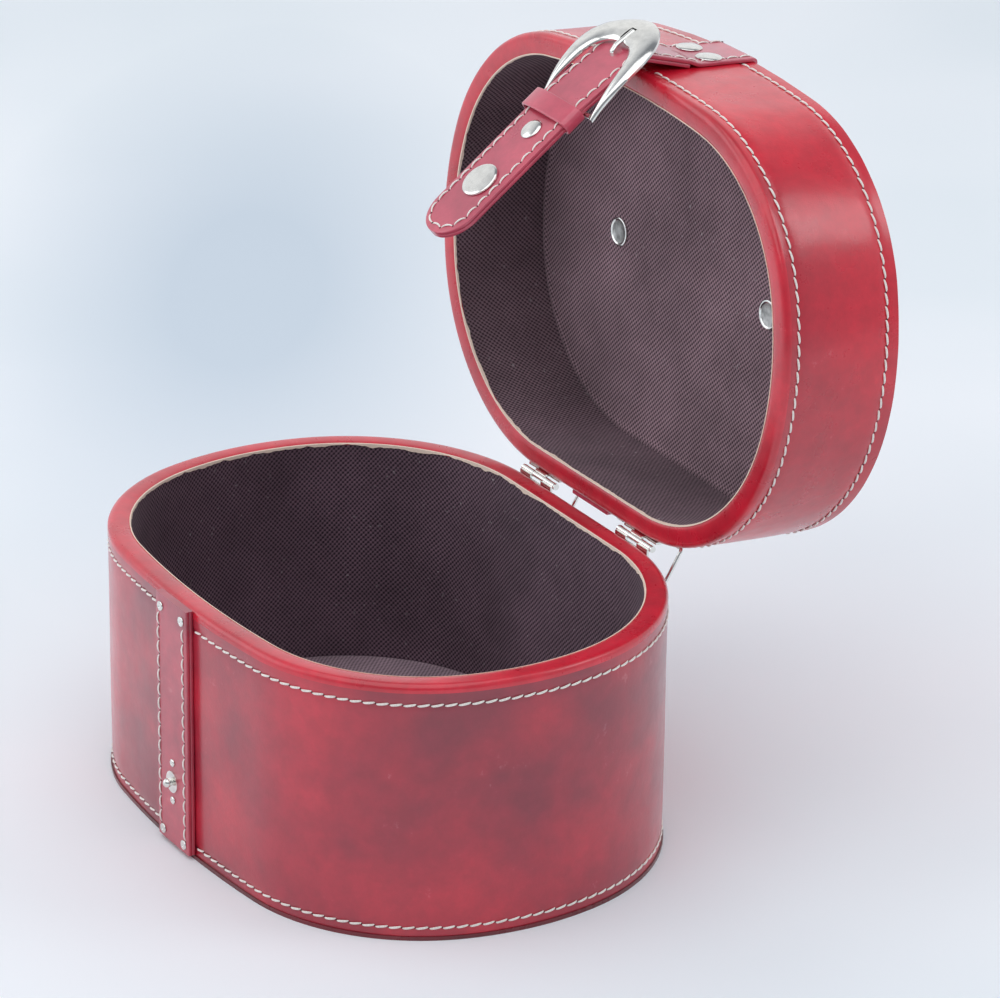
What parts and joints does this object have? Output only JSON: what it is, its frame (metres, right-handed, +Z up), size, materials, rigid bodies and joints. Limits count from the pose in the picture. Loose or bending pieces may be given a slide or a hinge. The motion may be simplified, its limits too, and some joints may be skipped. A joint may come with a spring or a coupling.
{
  "type": "stationery box",
  "caption": "Oval hard box with a hinged lid, a buckled strap that snaps to the front, a wire stay behind the lid, a lined inside and a carrying handle.",
  "frame": {"origin": "middle of the underside, on the surface the box stands on", "axes": "+X to the right along the long side, +Y to the back where the hinges are, +Z up"},
  "size_m": [0.25, 0.2693, 0.3031],
  "materials": {
    "base_leather": "glossy antiqued",
    "lid_leather": "glossy",
    "board": "plain board",
    "bottom_leather": "satin",
    "lining": "twill weave",
    "floor_lining": "twill weave",
    "strip_leather": "satin",
    "strap_leather": "satin",
    "nickel": "satin nickel"
  },
  "bodies": {
    "base": {"base_bottom_cover": "bottom_leather", "base_bottom_board": "board", "base_wall_board": "board", "base_wall_lining": "lining", "base_floor_lining": "floor_lining", "base_leather": "base_leather", "front_strip_backing": "strip_leather", "front_strip_face": "strip_leather", "front_strip_nails": "nickel", "snap_stud": "nickel", "snap_stud_nails": "nickel", "hinge_base_leaves": "nickel", "hinge_base_nails": "nickel", "hinge_pins": "nickel", "stay_guides": "nickel", "stay_guide_nails": "nickel"},
    "lid": {"lid_leather_band": "lid_leather", "lid_top_leather": "lid_leather", "lid_wall_board": "board", "lid_top_board": "board", "lid_wall_lining": "lining", "lid_top_lining": "lining", "hinge_lid_leaves": "nickel", "hinge_lid_nails": "nickel", "stay_tab": "strap_leather", "stay_tab_nails": "nickel", "handle": "strap_leather", "handle_rivets": "nickel", "handle_washers": "nickel", "strap_tail": "strap_leather", "strap_tail_backing": "strap_leather", "strap_crown": "strap_leather", "strap_tail_rivets": "nickel"},
    "buckle": {"strap_mid": "strap_leather", "strap_mid_backing": "strap_leather", "buckle_frame": "nickel", "buckle_bar": "nickel", "buckle_prong": "nickel"},
    "strap_end": {"strap_end": "strap_leather", "strap_end_backing": "strap_leather", "strap_small_rivet": "nickel", "snap_cap": "nickel", "snap_socket": "nickel"},
    "keeper": {"keeper_loop": "strap_leather"},
    "stay": {"stay_wire": "nickel"}
  },
  "joints": [
    {"name": "lid_hinge", "type": "hinge", "parent": "base", "child": "lid", "pos_m": [0, 0.0923, 0.1053], "axis": [-1, 0, 0], "range_deg": [-94, 0]},
    {"name": "strap_fold", "type": "hinge", "parent": "lid", "child": "buckle", "pos_m": [0, 0.10575, 0.29332], "axis": [-1, 0, 0], "range_deg": [0, 39.5]},
    {"name": "strap_end_swing", "type": "hinge", "parent": "buckle", "child": "strap_end", "pos_m": [0, 0.07841, 0.27799], "axis": [-1, 0, 0], "range_deg": [0, 70]},
    {"name": "keeper_slide", "type": "slide", "parent": "strap_end", "child": "keeper", "axis": [0, -0.7986, -0.6018], "range_m": [0, 0.002]},
    {"name": "stay_turn", "type": "hinge", "parent": "lid", "child": "stay", "pos_m": [0, 0.10329, 0.10473], "axis": [-1, 0, 0], "range_deg": [0, 65.7]}
  ],
  "couplings": [
    {"joint": "strap_fold", "follows": "lid_hinge", "ratio": -0.41915},
    {"joint": "stay_turn", "follows": "lid_hinge", "ratio": -0.69787}
  ]
}
